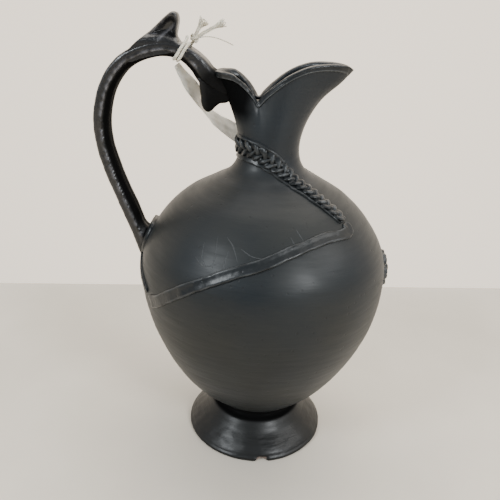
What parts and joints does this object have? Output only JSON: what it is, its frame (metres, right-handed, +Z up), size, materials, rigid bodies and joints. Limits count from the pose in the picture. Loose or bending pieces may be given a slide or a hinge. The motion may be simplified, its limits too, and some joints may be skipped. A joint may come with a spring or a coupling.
{
  "type": "clay jug",
  "caption": "Black burnished clay jug with a round body on a flared foot, a pinched mouth with a long spout, a tall strap handle, applied relief and a label tied on with twine",
  "frame": {"origin": "on the table, under the middle of the jug's box; the pot's own axis stands 9 mm from it towards +X", "axes": "+Z up, +X towards the spout, so that the handle is on the -X side; -Y is the side that the picture shows"},
  "size_m": [0.1608, 0.1344, 0.2373],
  "materials": {
    "burnished_body": "low-fired black clay rubbed to a soft sheen, with fine streaks from the rubbing stone and a few scratches",
    "smoked_neck": "darker smoked clay, semi-matte, with a brighter rubbed line under the lip and rough ridges along the handle",
    "glossy_foot": "near-black clay rubbed harder than the body, glossy towards the rim, chipped in one place to paler clay",
    "relief_clay": "black clay strips pressed on by hand, with bright rubbed edges and dark undercut seams",
    "cotton_twine": "undyed cotton twine, loosely twisted, frayed at its cut ends",
    "label_film": "thin cloudy film, cream grey, creased and translucent, blank"
  },
  "bodies": {
    "jug": {"body": "burnished_body", "handle_root_pad": "burnished_body", "root_tail_right": "burnished_body", "root_tail_left": "burnished_body", "neck_and_spout": "smoked_neck", "lip_coil": "smoked_neck", "handle_strap": "smoked_neck", "thumb_rest": "smoked_neck", "handle_hook": "smoked_neck", "foot": "glossy_foot", "border_strip_right": "relief_clay", "border_strip_left": "relief_clay", "collar_band": "relief_clay", "plait_strand_1": "relief_clay", "plait_strand_2": "relief_clay", "plait_strand_3": "relief_clay", "front_flower": "relief_clay", "front_flower_centre": "relief_clay", "string_turns": "cotton_twine", "string_knot": "cotton_twine", "string_tail_brush": "cotton_twine", "string_tail_long": "cotton_twine", "string_tail_thread": "cotton_twine"},
    "label": {"label": "label_film"}
  },
  "joints": [
    {"name": "label_swing", "type": "hinge", "parent": "jug", "child": "label", "pos_m": [-0.0392, 0, 0.2138], "axis": [0, 1, 0], "range_deg": [0, 36]}
  ]
}
